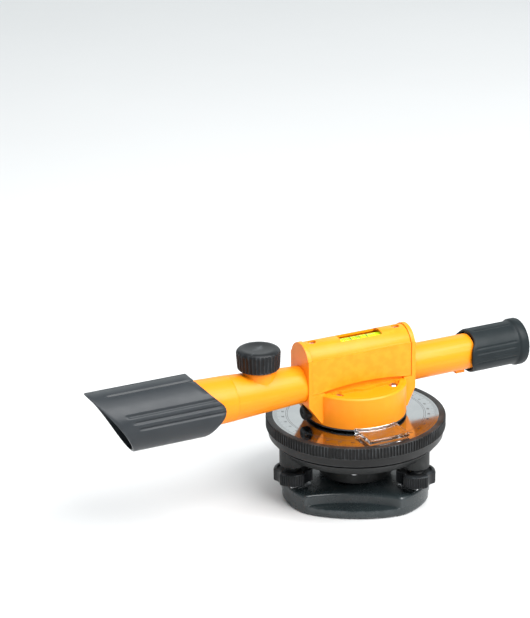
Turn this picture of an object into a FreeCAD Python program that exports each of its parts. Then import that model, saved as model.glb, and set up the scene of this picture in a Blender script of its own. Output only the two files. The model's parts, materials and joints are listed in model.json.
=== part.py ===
import FreeCAD, Part
import Sketcher
import math
import os
from FreeCAD import Placement, Rotation, Vector

# Builder's level: a telescope on a turntable with a horizontal circle, carried by a
# three-screw levelling base.  The origin is the mouth of the tripod thread, in the
# middle of the base's underside.  +Z is up and the telescope lies along X, with its
# eyepiece toward +X and its objective toward -X.

DIMENSIONS = {
    # base and foot screws
    "base_radius": 53.2,
    "base_height": 14.8,
    "skirt_height": 6.5,
    "bush_radius": 11.0,
    "bush_height": 13.0,
    "tripod_bore": 6.75,
    "tripod_depth": 11.0,
    "foot_circle": 48.4,
    "foot_ball": 3.2,
    "foot_ball_height": 11.2,
    "foot_spindle": 3.0,
    "foot_neck": 2.3,
    "foot_top": 39.5,
    "knob_radius": 13.4,
    "knob_bottom": 19.0,
    "knob_top": 28.2,
    "boss_bottom": 31.4,
    "boss_radius": 9.3,
    # levelling head and its bearing
    "hub_bottom": 17.4,
    "hub_radius": 25.5,
    "chamber_radius": 13.0,
    "hub_floor": 20.4,
    "hub_screw_height": 27.0,
    "stud_radius": 2.5,
    "dish_top": 43.8,
    "dish_radius": 58.5,
    "dish_floor": 40.5,
    "tower_radius": 15.5,
    "tower_top": 72.0,
    "shoulder": 47.5,
    "spindle_radius": 9.95,
    "running_gap": 0.06,
    "spindle_bottom": 37.5,
    # horizontal circle
    "ring_radius": 62.0,
    "ring_top": 59.5,
    "ring_bottom": 45.0,
    "plate_radius": 57.3,
    "plate_top": 59.2,
    "band_bottom": 51.8,
    # turret and telescope housing
    "collar_radius": 35.0,
    "collar_bottom": 60.1,
    "turret_bottom": 61.6,
    "turret_top": 83.6,
    "turret_radius": 34.8,
    "turret_wall": 4.4,
    "chamber_top": 75.6,
    "front_cheek_x": 42.5,
    "rear_cheek_x": 39.4,
    "cheek_thickness": 3.0,
    "cheek_half_width": 13.6,
    "cover_half_width": 13.1,
    "crease_height": 109.1,
    "arch_top": 118.5,
    "core_half_width": 11.0,
    "core_top": 101.0,
    "clamp_height": 67.2,
    "flange_screw_circle": 12.4,
    "vial_height": 111,
    "vial_middle": 1.7,
    "vial_half_length": 19.0,
    "sight_height": 88.7,
    # telescope, radii about the line of sight
    "main_tube_radius": 9.5,
    "barrel_root": 12.7,
    "seam_x": 95.0,
    "focus_x": 73.2,
    "pinion_radius": 3.5,
    "focus_boss_top": 105.8,
    "focus_knob_top": 120.6,
    "focus_knob_bottom": 106.2,
    "hood_seat": 19.3,
    "hood_bore": 19.6,
    "hood_radius": 21.8,
    "hood_tip": 196.5,
    "hood_tongue": 106.2,
    "rear_end": 88.0,
    "eyecup_start": 84.0,
    "eyecup_end": 130.0,
    "eyecup_radius": 15.4,
    "eyecup_lip": 16.6,
}

FEET = {"front": 180.0, "rear_left": -60.0, "rear_right": 60.0}
SCOOPS = (0.0, 120.0, 240.0)

AXES = {
    "Z": Rotation(),
    "X": Rotation(Vector(0, 1, 0), 90),
    "Y": Rotation(Vector(1, 0, 0), -90),
}

document = FreeCAD.newDocument("BuildersLevel")
sheet = document.addObject("Spreadsheet::Sheet", "Dims")
for row, (alias, number) in enumerate(DIMENSIONS.items(), start=1):
    sheet.set("A%d" % row, alias)
    sheet.set("B%d" % row, str(number))
    sheet.setAlias("B%d" % row, alias)
document.recompute()

PIECES = {}


class Size:
    """A length that knows both its value and the sheet formula it comes from."""

    def __init__(self, value, formula):
        self.value = value
        self.formula = formula

    def _with(self, sign, other, value):
        return Size(value, "(%s %s (%s))" % (self.formula, sign, formula_of(other)))

    def __add__(self, other):
        return self._with("+", other, self.value + value_of(other))

    def __sub__(self, other):
        return self._with("-", other, self.value - value_of(other))

    def __mul__(self, other):
        return self._with("*", other, self.value * value_of(other))

    def __neg__(self):
        return Size(-self.value, "(0 - (%s))" % self.formula)


def value_of(length):
    return length.value if isinstance(length, Size) else float(length)


def formula_of(length):
    return length.formula if isinstance(length, Size) else repr(float(length))


def size(alias):
    return Size(DIMENSIONS[alias], "Dims." + alias)


def bind(thing, attribute, length):
    """Ties one property to the sheet, or sets it where it is a plain number."""
    if isinstance(length, Size):
        thing.setExpression(attribute, length.formula)


def place(thing, at, rotation=None):
    thing.Placement = Placement(Vector(*[value_of(c) for c in at]), rotation or Rotation())
    for letter, coordinate in zip("xyz", at):
        bind(thing, "Placement.Base." + letter, coordinate)
    return thing


def keep(label, thing):
    """Names a finished sub-part; its label is its file's name too."""
    thing.Label = label
    PIECES[label] = thing
    return thing


def cylinder(name, radius, length, at=(0, 0, 0), axis="Z"):
    thing = document.addObject("Part::Cylinder", name)
    thing.Radius = value_of(radius)
    thing.Height = value_of(length)
    bind(thing, "Radius", radius)
    bind(thing, "Height", length)
    return place(thing, at, AXES[axis])


def box(name, low, high, rotation=None):
    thing = document.addObject("Part::Box", name)
    for attribute, start, end in zip(("Length", "Width", "Height"), low, high):
        span = Size(value_of(end), formula_of(end)) - start
        setattr(thing, attribute, span.value)
        if isinstance(start, Size) or isinstance(end, Size):
            bind(thing, attribute, span)
    return place(thing, low, rotation)


def fuse(name, things):
    joined = document.addObject("Part::MultiFuse", name)
    joined.Shapes = list(things)
    joined.Refine = True
    return joined


def cut(name, base, tools):
    trimmed = document.addObject("Part::Cut", name)
    trimmed.Base = base
    trimmed.Tool = tools[0] if len(tools) == 1 else fuse(name + "_tools", tools)
    trimmed.Refine = True
    return trimmed


def common(name, things):
    shared = document.addObject("Part::MultiCommon", name)
    shared.Shapes = list(things)
    return shared


def sketch_on(body, plane_role, name, outline):
    """A closed outline of straight runs, each corner tied to the sheet."""
    plane = [f for f in body.Origin.OriginFeatures if f.Role == plane_role][0]
    sketch = body.newObject("Sketcher::SketchObject", name)
    sketch.AttachmentSupport = (plane, [""])
    sketch.MapMode = "FlatFace"
    corners = [Vector(value_of(u), value_of(v), 0) for u, v in outline]
    count = len(corners)
    for index in range(count):
        run = Part.LineSegment(corners[index], corners[(index + 1) % count])
        sketch.addGeometry(run, False)
    for index in range(count):
        sketch.addConstraint(Sketcher.Constraint("Coincident", index, 2, (index + 1) % count, 1))
    for index, corner in enumerate(outline):
        for kind, length in zip(("DistanceX", "DistanceY"), corner):
            number = sketch.addConstraint(
                Sketcher.Constraint(kind, -1, 1, index, 1, value_of(length)))
            bind(sketch, "Constraints[%d]" % number, length)
    return sketch


def turned(name, outline, axis="Z", at=(0, 0, 0)):
    """A lathe-turned body: corners are (radius, z), or (x, radius) about the X axis."""
    body = document.addObject("PartDesign::Body", name)
    sketch = sketch_on(body, "XZ_Plane", name + "_outline", outline)
    turn = body.newObject("PartDesign::Revolution", name + "_turn")
    turn.Profile = sketch
    turn.ReferenceAxis = (sketch, ["V_Axis" if axis == "Z" else "H_Axis"])
    turn.Angle = 360
    return place(body, at)


def sighted(name, outline):
    """A body turned about the line of sight, from (x, radius) corners."""
    return turned(name, outline, "X", (0, 0, size("sight_height")))


def plate(name, outline, thickness, plane="XY_Plane", at=(0, 0, 0)):
    """A body padded from a straight-sided outline."""
    body = document.addObject("PartDesign::Body", name)
    sketch = sketch_on(body, plane, name + "_outline", outline)
    pad = body.newObject("PartDesign::Pad", name + "_pad")
    pad.Profile = sketch
    pad.Length = value_of(thickness)
    bind(pad, "Length", thickness)
    if plane != "XY_Plane":
        pad.Midplane = True
    return place(body, at)


def hexagon(across_flats):
    reach = across_flats / 2 / math.cos(math.radians(30))
    return [(reach * math.cos(math.radians(60 * k)), reach * math.sin(math.radians(60 * k)))
            for k in range(6)]


def copies(label, source, placements):
    """Identical fasteners share one sub-part, as separate solids."""
    document.recompute()
    group = document.addObject("Part::Feature", label)
    solids = []
    for placement in placements:
        solid = source.Shape.copy()
        solid.Placement = placement.multiply(solid.Placement)
        solids.append(solid)
    group.Shape = Part.makeCompound(solids)
    return keep(label, group)


def about_z(angle, offset=(0, 0, 0)):
    turn = Rotation(Vector(0, 0, 1), angle)
    return Placement(turn.multVec(Vector(*offset)), turn)


def at_foot(angle, radius=None):
    """The sheet formulas of a point on the foot circle, or on a circle of another radius."""
    reach = radius or size("foot_circle")
    return (reach * round(math.cos(math.radians(angle)), 9),
            reach * round(math.sin(math.radians(angle)), 9))


# ---------------------------------------------------------------- base

def make_base_plate():
    """A round plate with three lobes; a flatter skirt joins them at the bottom."""
    corner_round = 3.5
    edge = size("base_radius")
    top = size("base_height")
    blank = turned("base_blank", [(0, 0), (edge - corner_round, 0), (edge - 1, 1),
                                  (edge, corner_round), (edge, top - 1), (edge - 1, top), (0, top)])
    skirt_radius = 90.0
    skirt_shift = 43.3
    scoop_radius = 84.0
    scoop_shift = 118.0
    skirts = []
    scoops = []
    for angle in SCOOPS:
        away = math.radians(angle)
        skirts.append(cylinder("skirt_limit", skirt_radius, top + 2,
                               (-skirt_shift * math.cos(away), -skirt_shift * math.sin(away), -1)))
        scoops.append(cylinder("scoop", scoop_radius, top,
                               (scoop_shift * math.cos(away), scoop_shift * math.sin(away),
                                size("skirt_height"))))
    lobed = common("base_lobes", [blank] + skirts)
    tools = list(scoops)
    tools.append(cylinder("bush_pocket", size("bush_radius"), size("bush_height") + 1, (0, 0, -1)))
    tools.append(cylinder("stud_hole", size("stud_radius"), top))
    socket = size("foot_ball") + 0.3
    for angle in FEET.values():
        across, along = at_foot(angle)
        centre = size("foot_ball_height")
        tools.append(cylinder("foot_well", socket, top, (across, along, centre)))
        cup = document.addObject("Part::Sphere", "foot_cup")
        bind(cup, "Radius", socket)
        tools.append(place(cup, (across, along, centre)))
        inner_x, inner_y = at_foot(angle, size("foot_circle") - 8.7)
        tools.append(cylinder("screw_hole", 1.2, top, (inner_x, inner_y, top - 7)))
    keep("base_plate", cut("base_plate", lobed, tools))


def make_tripod_bush():
    """A metal insert with the tripod's 5/8 inch thread."""
    outer = size("bush_radius")
    depth = size("tripod_depth")
    bore = size("tripod_bore")
    top = size("bush_height")
    keep("tripod_bush", turned("tripod_bush", [
        (bore, 0), (outer, 0), (outer, top), (size("stud_radius"), top),
        (size("stud_radius"), depth), (bore, depth)]))


def make_hold_down():
    """The stud, nut and dished washer that keep the head down on its screws."""
    radius = size("stud_radius")
    keep("hold_down_stud", cylinder("hold_down_stud", radius, 21.6, (0, 0, size("tripod_depth") + 0.2)))
    washer_bottom = 27.6
    washer_top = 28.8
    keep("hold_down_washer", turned("hold_down_washer", [
        (radius, washer_bottom), (8.5, washer_bottom), (8.5, washer_top), (radius, washer_top)]))
    nut = plate("nut_blank", hexagon(8.0), 4.0, at=(0, 0, washer_top))
    keep("hold_down_nut", cut("hold_down_nut", nut, [cylinder("nut_bore", radius, 10, (0, 0, 25))]))


def make_hold_down_spring():
    """A compression spring between the hub's floor and the washer."""
    coil_radius = 6.0
    wire_radius = 0.6
    turns = 4
    pitch = 1.4
    body = document.addObject("PartDesign::Body", "hold_down_spring")
    plane = [f for f in body.Origin.OriginFeatures if f.Role == "XZ_Plane"][0]
    sketch = body.newObject("Sketcher::SketchObject", "spring_wire")
    sketch.AttachmentSupport = (plane, [""])
    sketch.MapMode = "FlatFace"
    sketch.addGeometry(Part.Circle(Vector(coil_radius, 0, 0), Vector(0, 0, 1), wire_radius), False)
    sketch.addConstraint(Sketcher.Constraint("DistanceX", -1, 1, 0, 3, coil_radius))
    sketch.addConstraint(Sketcher.Constraint("PointOnObject", 0, 3, -1))
    sketch.addConstraint(Sketcher.Constraint("Radius", 0, wire_radius))
    coil = body.newObject("PartDesign::AdditiveHelix", "spring_coil")
    coil.Profile = sketch
    coil.ReferenceAxis = (sketch, ["V_Axis"])
    coil.Mode = 1
    coil.Pitch = pitch
    coil.Turns = turns
    coil.LeftHanded = False
    keep("hold_down_spring", place(body, (0, 0, size("hub_floor") + 0.9)))


def make_foot_retainers():
    """A slotted steel tab over each ball, each with one screw."""
    top = size("base_height")
    tab_width = 9.0
    outer = size("foot_circle") + 3.5
    inner = size("foot_circle") - 11.7
    strip = box("tab_strip", (inner, -tab_width / 2, top), (outer, tab_width / 2, top + 1))
    neck_hole = cylinder("neck_hole", size("foot_neck") + 0.5, 5, (size("foot_circle"), 0, top - 1))
    screw_x = size("foot_circle") - 8.7
    tab = cut("tab", strip, [neck_hole, cylinder("tab_hole", 1.2, 5, (screw_x, 0, top - 1))])
    screw = turned("tab_screw", [(0, top - 6), (1.2, top - 6), (1.2, top + 1), (2.3, top + 1),
                                 (2.3, top + 1.6), (1.8, top + 2.2), (0, top + 2.2)])
    slotted = cut("tab_screw_cut", place(screw, (screw_x, 0, 0)), [
        box("tab_slot", (screw_x - 3, -0.3, top + 1.7), (screw_x + 3, 0.3, top + 3))])
    copies("foot_retainers", tab, [about_z(angle) for angle in FEET.values()])
    copies("retainer_screws", slotted, [about_z(angle) for angle in FEET.values()])


def make_foot(name, angle):
    """One levelling screw: a threaded spindle with a ball end, and its three-lobed knob."""
    centre = size("foot_ball_height")
    across, along = at_foot(angle)
    neck = size("foot_neck")
    spindle_radius = size("foot_spindle")
    neck_top = centre + 6.3
    shank = turned("shank_" + name, [
        (0, centre), (neck, centre), (neck, neck_top), (spindle_radius, neck_top + 0.6),
        (spindle_radius, size("foot_top") - 0.8), (spindle_radius - 0.8, size("foot_top")),
        (0, size("foot_top"))])
    ball = document.addObject("Part::Sphere", "ball_" + name)
    bind(ball, "Radius", size("foot_ball"))
    place(ball, (0, 0, centre))
    screw = fuse("foot_screw_" + name, [shank, ball])
    keep("foot_screw_" + name, place(screw, (across, along, 0)))
    radius = size("knob_radius")
    low = size("knob_bottom")
    high = size("knob_top")
    disc = turned("disc_" + name, [
        (spindle_radius, low), (radius - 1, low), (radius, low + 1), (radius, high - 1),
        (radius - 1, high), (radius - 4, high), (radius - 4.5, high - 0.8), (5.5, high - 0.8),
        (5.5, high), (spindle_radius, high)])
    hollows = []
    for turn in (60.0, 180.0, 300.0):
        reach = 20.8
        hollows.append(cylinder("hollow", 9.5, 12, (
            reach * math.cos(math.radians(turn)), reach * math.sin(math.radians(turn)), low - 1)))
    knob = cut("foot_knob_" + name, disc, hollows)
    keep("foot_knob_" + name, place(knob, (across, along, 0)))


# ---------------------------------------------------------------- levelling head

def hub_screw_placement(along):
    """Across the hub toward one scoop of the base, at a distance along the screw's own axis."""
    sideways = Placement(Vector(0, along, DIMENSIONS["hub_screw_height"]), AXES["Y"])
    return about_z(-30).multiply(sideways)


def make_levelling_head():
    """Hub, dish, bearing tower and three screw bosses in one moulding."""
    hub = size("hub_radius")
    dish = size("dish_radius")
    floor = size("dish_floor")
    tower = size("tower_radius")
    chamber = size("chamber_radius")
    bowl_bottom = 35.6
    body = turned("head_turned", [
        (4.4, size("hub_bottom")), (hub, size("hub_bottom")), (hub, bowl_bottom - 1),
        (hub + 2, bowl_bottom), (dish - 8.5, bowl_bottom), (dish - 5.5, bowl_bottom + 1.6),
        (dish, size("dish_top")), (dish - 4, size("dish_top")), (dish - 5, floor),
        (19, floor), (19, size("shoulder")), (tower, size("shoulder")),
        (tower, size("tower_top")), (chamber, size("tower_top")),
        (chamber, size("hub_floor")), (4.4, size("hub_floor"))])
    bosses = []
    holes = []
    for angle in FEET.values():
        across, along = at_foot(angle)
        low = size("boss_bottom")
        boss_depth = size("dish_top") - low - 0.4
        bosses.append(cylinder("boss", size("boss_radius"), boss_depth, (across, along, low)))
        holes.append(cylinder("bush_seat", 5.2, 10.9, (across, along, low)))
    screw_hole = cylinder("hub_screw_hole", 1.5, 14)
    screw_hole.Placement = hub_screw_placement(-hub.value - 1)
    holes.append(screw_hole)
    keep("levelling_head", cut("levelling_head", fuse("head_blank", [body] + bosses), holes))


def make_head_fittings():
    """Screw bushes, the spindle's sleeve, the circle's washer and the hub screw."""
    low = size("boss_bottom")
    thread = size("foot_spindle") + 0.6
    bush = turned("bush", [(thread, low), (5.2, low), (5.2, low + 9.5), (thread, low + 9.5)])
    reach = DIMENSIONS["foot_circle"]
    copies("foot_bushes", bush, [about_z(angle, (reach, 0, 0)) for angle in FEET.values()])
    bore = size("spindle_radius") + size("running_gap")
    chamber = size("chamber_radius")
    keep("spindle_sleeve", turned("spindle_sleeve", [
        (bore, size("spindle_bottom") + 0.6), (chamber, size("spindle_bottom") + 0.6),
        (chamber, size("tower_top")), (bore, size("tower_top"))]))
    tower = size("tower_radius")
    seat = size("shoulder")
    keep("circle_washer", turned("circle_washer", [
        (tower, seat), (18.6, seat), (18.6, seat + 0.8), (tower, seat + 0.8)]))
    hub = size("hub_radius")
    keep("hub_screw", turned("hub_screw", [
        (0, 11), (1.5, 11), (1.5, hub), (3.2, hub), (3.2, hub + 1), (2.4, hub + 2), (1, hub + 2),
        (1, hub + 1), (0, hub + 1)]))
    turned_over = Placement(Vector(0, 0, 0), Rotation(Vector(1, 0, 0), 180))
    PIECES["hub_screw"].Placement = hub_screw_placement(0).multiply(turned_over)


# ---------------------------------------------------------------- horizontal circle

def make_circle():
    """The knurled ring that carries the graduated plate."""
    ring = size("ring_radius")
    top = size("ring_top")
    low = size("ring_bottom")
    bore = size("tower_radius") + size("running_gap")
    seat = size("plate_top") - 1
    band_low = size("band_bottom")
    hub_low = size("shoulder") + 0.9
    web_low = seat - 3.4
    rim = size("plate_radius")
    keep("circle_ring", turned("circle_ring", [
        (bore, hub_low), (20.5, hub_low), (20.5, web_low), (ring - 6, web_low), (ring - 6, low + 0.6),
        (ring - 5.4, low), (ring - 2.6, low), (ring - 1.8, low + 0.8), (ring - 0.9, band_low - 0.6),
        (ring, band_low), (ring, top - 0.6), (ring - 0.6, top), (rim, top), (rim, seat), (bore, seat)]))
    keep("circle_plate", turned("circle_plate", [
        (17.2, seat), (rim, seat), (rim, seat + 1), (17.2, seat + 1)]))


# ---------------------------------------------------------------- turret and housing

def arched(name, half_width, bottom, crown, x_low, x_high):
    """A block along X with flat sides up to the crease and a round arch above it."""
    crease = size("crease_height")
    straight = box(name + "_sides", (x_low, -half_width, bottom), (x_high, half_width, crease))
    arch_radius = half_width - 0.5
    barrel = cylinder(name + "_arch", arch_radius, x_high - x_low, (x_low, 0, crown - arch_radius), "X")
    upper = box(name + "_upper", (x_low, -half_width, crease - 1), (x_high, half_width, crown + 1))
    cap = common(name + "_cap", [barrel, upper])
    return fuse(name, [straight, cap])


COVER_SCREWS = (-33.5, 30.4)
FLANGE_SCREWS = (90, 210, 330)
HOUSING_SCREWS = [(21.0, 15.3), (21.0, -15.3), (-21.0, 15.3), (-21.0, -15.3)]


def flange_screw_places():
    """Where the three screws of the spindle's flange stand."""
    return [at_foot(angle, size("flange_screw_circle")) for angle in FLANGE_SCREWS]


def make_housing():
    """Turret pot, telescope cradle and two end cheeks in one casting."""
    radius = size("turret_radius")
    low = size("turret_bottom")
    top = size("turret_top")
    pot = turned("turret_pot", [
        (0, size("chamber_top")), (radius - size("turret_wall"), size("chamber_top")),
        (radius - size("turret_wall"), low), (radius, low), (radius, top - 1), (radius - 1, top), (0, top)])
    rear_far = size("rear_cheek_x")
    rear_near = rear_far - size("cheek_thickness")
    front_far = size("front_cheek_x")
    front_near = front_far - size("cheek_thickness")
    wide = size("cheek_half_width")
    barrel_bottom = size("sight_height") - size("barrel_root")
    crown = size("arch_top")
    cheeks = [arched("cheek_rear", wide, barrel_bottom, crown, rear_near, rear_far),
              arched("cheek_front", wide, barrel_bottom, crown, -front_far, -front_near)]
    core_side = size("core_half_width")
    core = box("core", (-front_near, -core_side, top - 3), (rear_near, core_side, size("core_top")))
    root_z = low + 1.5
    gussets = []
    gusset_inner = 30.5
    gusset_root = 33.2
    for side, far in ((1, rear_far), (-1, front_far)):
        inner = gusset_inner * side
        gussets.append(plate("gusset", [
            (inner, root_z), (gusset_root * side, root_z), (far * side, barrel_bottom + 0.2),
            (far * side, top + 1), (inner, top + 1)], wide * 2, "XZ_Plane"))
    posts = []
    holes = []
    for x, y in HOUSING_SCREWS:
        posts.append(cylinder("screw_post", 4.0, size("chamber_top") - low + 1, (x, y, low)))
        holes.append(cylinder("screw_way", 1.5, 30, (x, y, low - 1)))
        holes.append(cylinder("screw_sink", 3.4, 6, (x, y, top - 3.6)))
    pocket_ring = turned("pocket_ring", [(16, top - 2), (30, top - 2), (30, top + 2), (16, top + 2)])
    keep_clear = size("core_half_width") + 2.6
    pockets = [common("pocket_" + str(side), [pocket_ring, box(
        "pocket_side", (-30, -30 if side < 0 else keep_clear, top - 2),
        (30, -keep_clear if side < 0 else 30, top + 2))]) for side in (-1, 1)]
    sight_bore = cylinder("sight_bore", size("main_tube_radius"), 100, (-50, 0, size("sight_height")), "X")
    clamp_hole = cylinder("clamp_hole", 2.1, 10, (-36, 0, size("clamp_height")), "X")
    cover_holes = [cylinder("cover_screw_hole", 1.2, 9, (x, 0, size("core_top") - 2)) for x in COVER_SCREWS]
    flange_holes = [cylinder("flange_hole", 1.2, 3, (across, along, size("chamber_top") - 0.5))
                    for across, along in flange_screw_places()]
    solid = fuse("housing_blank", [pot, core] + cheeks + gussets + posts)
    knob_room = cylinder("clamp_knob_room", 6.3, 12, (-radius - 11.9, 0, size("clamp_height")), "X")
    bores = [sight_bore, clamp_hole, knob_room] + holes + cover_holes + flange_holes + pockets
    clear_pot = turned("chamber_clear", [
        (0, low - 4), (17.5, low - 4), (17.5, size("chamber_top")), (0, size("chamber_top"))])
    keep("housing", cut("housing", solid, bores + [clear_pot]))


def make_collar():
    """The dark plate that closes the turret and hides the spindle."""
    edge = size("collar_radius")
    low = size("collar_bottom")
    top = size("turret_bottom")
    disc = turned("collar_disc", [
        (size("tower_radius") + 1, low), (edge - 0.6, low), (edge, low + 0.6), (edge, top - 0.6),
        (edge - 0.6, top), (size("tower_radius") + 1, top)])
    holes = [cylinder("collar_hole", 1.5, 6, (x, y, low - 1)) for x, y in HOUSING_SCREWS]
    keep("collar_plate", cut("collar_plate", disc, holes))
    screw_top = size("turret_top") - 3.6
    screw = turned("housing_screw", [
        (0, low), (1.5, low), (1.5, screw_top), (3.0, screw_top), (3.0, screw_top + 1.2),
        (2.2, screw_top + 2.0), (0, screw_top + 2.0)])
    slot = 0.4
    crossed = cut("housing_screw_cut", screw, [
        box("cross_a", (-1.7, -slot, screw_top + 0.9), (1.7, slot, screw_top + 3)),
        box("cross_b", (-slot, -1.7, screw_top + 0.9), (slot, 1.7, screw_top + 3))])
    copies("housing_screws", crossed, [Placement(Vector(x, y, 0), Rotation()) for x, y in HOUSING_SCREWS])


def make_spindle():
    """The vertical axis: a flanged shaft, its three screws and the end washer."""
    radius = size("spindle_radius")
    top = size("chamber_top")
    keep("spindle", cut("spindle", turned("spindle_turned", [
        (0, size("spindle_bottom")), (radius - 0.6, size("spindle_bottom")),
        (radius, size("spindle_bottom") + 0.6), (radius, size("tower_top") + 0.6),
        (15.5, size("tower_top") + 0.6), (15.5, top), (0, top)]), [
            cylinder("retainer_bore", 2.0, 12, (0, 0, size("spindle_bottom") - 1))] + [
            cylinder("flange_screw_bore", 1.2, 8, (across, along, top - 6))
            for across, along in flange_screw_places()]))
    shank = turned("flange_screw", [
        (0, top + 2), (1.2, top + 2), (1.2, size("tower_top") + 0.7), (0, size("tower_top") + 0.7)])
    reach = DIMENSIONS["flange_screw_circle"]
    copies("spindle_screws", shank, [about_z(angle, (reach, 0, 0)) for angle in FLANGE_SCREWS])
    keep("spindle_washer", turned("spindle_washer", [
        (2.0, size("spindle_bottom") - 1), (12.0, size("spindle_bottom") - 1),
        (12.0, size("spindle_bottom")), (2.0, size("spindle_bottom"))]))
    head_low = size("spindle_bottom") - 2.3
    keep("spindle_bolt", turned("spindle_bolt", [
        (0, head_low), (3.4, head_low), (3.6, head_low + 0.3), (3.6, head_low + 1.3), (2.0, head_low + 1.3),
        (2.0, head_low + 12.3), (0, head_low + 12.3)]))


def make_index_window():
    """The clear reading window that overhangs the graduations."""
    low = size("plate_top") + 0.6
    slab = box("window_slab", (-17.5, -53.5, low), (12.5, -20, low + 3))
    relief = cylinder("window_relief", size("collar_radius") + 0.3, 6, (0, 0, low - 1))
    keep("index_window", cut("index_window", slab, [relief]))


def make_clamp():
    """The azimuth clamp: a pad pushed against the bearing tower by a knurled screw."""
    height = size("clamp_height")
    start = size("tower_radius") + 0.3
    pad = cylinder("clamp_pad", 1.9, 3.0, (-start, 0, height), "X")
    pad.Placement = Placement(Vector(-start.value - 3.0, 0, height.value), AXES["X"])
    bind(pad, "Placement.Base.x", -start - 3.0)
    keep("clamp_pad", pad)
    tip = start + 3.1
    end = size("turret_radius") + 6.2
    keep("clamp_screw", turned("clamp_screw", [
        (-tip, 0), (-tip, 1.9), (-end + 0.8, 1.9), (-end + 0.8, 0)], "X", (0, 0, height)))
    knob_near = size("turret_radius") + 0.9
    keep("clamp_knob", turned("clamp_knob", [
        (-knob_near, 1.9), (-knob_near, 4.6), (-knob_near - 0.5, 5.2), (-end + 0.9, 5.2),
        (-end, 4.4), (-end, 0), (-end + 0.8, 0), (-end + 0.8, 1.9)], "X", (0, 0, height)))


# ---------------------------------------------------------------- vial

def make_vial_cover():
    """A saddle over the telescope with a long window above the vial."""
    front = size("front_cheek_x") - size("cheek_thickness") - 0.3
    rear = size("rear_cheek_x") - size("cheek_thickness") - 0.3
    wide = size("cover_half_width")
    crown = size("arch_top") - 0.6
    wall = 1.9
    low = size("turret_top") + 1.2
    outer = arched("cover_outer", wide, low, crown, -front, rear)
    hollow_box = box("cover_hollow", (-front - 1, -wide + wall, low - 1),
                     (rear + 1, wide - wall, size("crease_height") - 1))
    hollow_arch = cylinder("cover_hollow_arch", wide - wall - 0.6, front + rear + 2,
                           (-front - 1, 0, size("crease_height") - 3.2), "X")
    arc_radius = 206.0
    arc_crest = size("turret_top") + 4.0
    skirt_arc = cylinder("skirt_arc", arc_radius, 60, (0, -30, arc_crest - arc_radius), "Y")
    middle = size("vial_middle")
    half_window = size("vial_half_length") - 3.3
    window = box("vial_window", (middle - half_window, -6.2, size("vial_height")),
                 (middle + half_window, 6.2, crown + 2))
    shell = cut("cover_shell", outer, [hollow_box, hollow_arch, skirt_arc, window])
    posts = [cylinder("cover_post", 3.6, crown - size("core_top") - 1.6, (x, 0, size("core_top")))
             for x in COVER_SCREWS]
    body = fuse("cover_body", [shell] + posts)
    holes = []
    for x in COVER_SCREWS:
        holes.append(cylinder("cover_way", 1.2, 30, (x, 0, size("core_top") - 1)))
        holes.append(cylinder("cover_sink", 2.9, 6, (x, 0, crown - 2.9)))
    keep("vial_cover", cut("vial_cover", body, holes))
    head = crown - 2.9
    screw = turned("cover_screw", [
        (0, size("core_top") - 1.8), (1.2, size("core_top") - 1.8), (1.2, head), (2.6, head), (2.6, head + 1),
        (1.9, head + 1.7), (0, head + 1.7)])
    crossed = cut("cover_screw_cut", screw, [
        box("cover_cross_a", (-1.5, -0.35, head + 0.8), (1.5, 0.35, head + 3)),
        box("cover_cross_b", (-0.35, -1.5, head + 0.8), (0.35, 1.5, head + 3))])
    copies("cover_screws", crossed, [Placement(Vector(x, 0, 0), Rotation()) for x in COVER_SCREWS])


def make_vial():
    """The tubular vial in its cradle."""
    glass = 4.6
    liquid = 3.7
    half_length = size("vial_half_length")
    middle = size("vial_middle")
    at = (middle, 0, size("vial_height"))
    keep("vial_tube", turned("vial_tube", [
        (-half_length, 0), (-half_length, glass), (half_length, glass), (half_length, 0),
        (half_length - 1.5, 0), (half_length - 1.5, liquid), (-half_length + 1.5, liquid),
        (-half_length + 1.5, 0)], "X", at))
    keep("vial_liquid", turned("vial_liquid", [
        (-half_length + 1.5, 0), (-half_length + 1.5, liquid), (half_length - 1.5, liquid),
        (half_length - 1.5, 0)], "X", at))
    cradle = box("cradle_block", (middle - half_length - 3, -6, size("core_top")),
                 (middle + half_length + 3, 6, size("vial_height")))
    groove = cylinder("cradle_groove", glass, 60, (-30, 0, size("vial_height")), "X")
    keep("vial_cradle", cut("vial_cradle", cradle, [groove]))


# ---------------------------------------------------------------- telescope

def make_tubes():
    """The inner tube, the tapered front barrel and the straight rear barrel."""
    tube = size("main_tube_radius")
    keep("main_tube", sighted("main_tube", [(-50, tube - 1), (-50, tube), (50, tube), (50, tube - 1)]))
    face = size("front_cheek_x") + 0.05
    seam = size("seam_x")
    root = size("barrel_root")
    cone = sighted("front_cone", [(-face, 0), (-face, root), (-seam, 15.6), (-seam, 0)])
    boss_top = size("focus_boss_top")
    boss = turned("focus_boss", [(0, 92), (11.6, 92), (10.6, boss_top - 0.7), (10, boss_top), (0, boss_top)],
                  at=(-size("focus_x"), 0, 0))
    bore = sighted("front_bore", [
        (-30, 0), (-30, tube), (-48, tube), (-48, 11.2), (-91.2, 11.2), (-91.2, 13), (-100, 13), (-100, 0)])
    shaft_way = cylinder("shaft_way", 4.2, 20, (-size("focus_x"), 0, 95))
    keep("front_barrel", cut("front_barrel", fuse("front_blank", [cone, boss]), [bore, shaft_way]))
    end = size("rear_end")
    rear_face = size("rear_cheek_x") + 0.05
    rear = sighted("rear_turned", [
        (rear_face, tube), (rear_face, root - 0.1), (end, root - 0.3), (end, 10.6), (48, 10.6), (48, tube)])
    lug = box("rear_lug", (end - 9.5, -2, size("sight_height") - 14.9),
              (end - 2.5, 2, size("sight_height") - 11.6))
    keep("rear_barrel", fuse("rear_barrel", [rear, lug]))


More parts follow.
